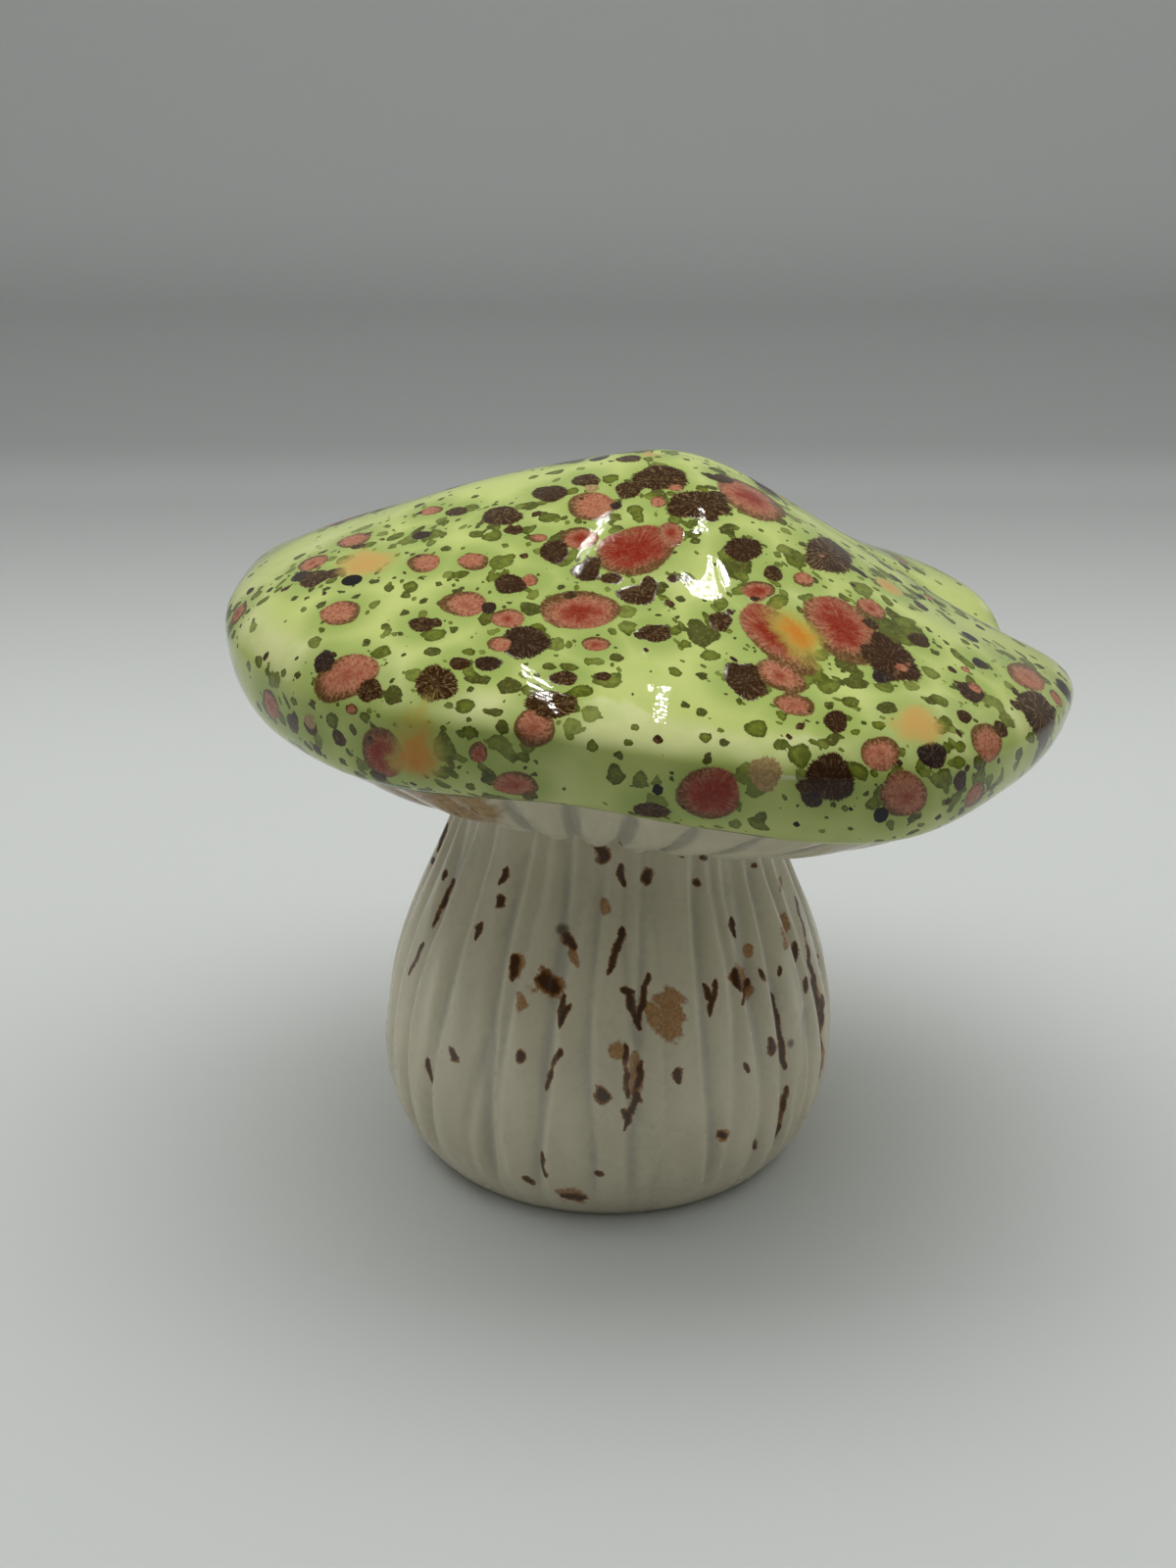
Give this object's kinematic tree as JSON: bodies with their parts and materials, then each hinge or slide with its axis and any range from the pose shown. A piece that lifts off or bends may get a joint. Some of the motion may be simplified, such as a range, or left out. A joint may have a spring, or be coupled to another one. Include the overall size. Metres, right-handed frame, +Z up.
{
  "type": "ceramic mushroom ornament",
  "caption": "Standing mushroom figure in glazed ceramic: a hollow wavy cap with a gilled underside, luted on to a hollow bulbous fluted stem with a flat foot.",
  "frame": {"origin": "middle of the foot's flat face, in the plane that the ornament stands on", "axes": "+Z points up through the crown, -Y is the front that the picture shows, +X is the viewer's right"},
  "size_m": [0.1149, 0.1107, 0.1006],
  "materials": {
    "green_crystal_glaze": "glossy yellow-green glaze with bloomed red, orange, brown, dark green and black glaze crystals",
    "white_satin_glaze": "satin off-white glaze with elongated brown specks in the grooves"
  },
  "bodies": {
    "root": {"cap": "green_crystal_glaze", "stem": "white_satin_glaze", "joining_slip": "white_satin_glaze"}
  },
  "joints": []
}
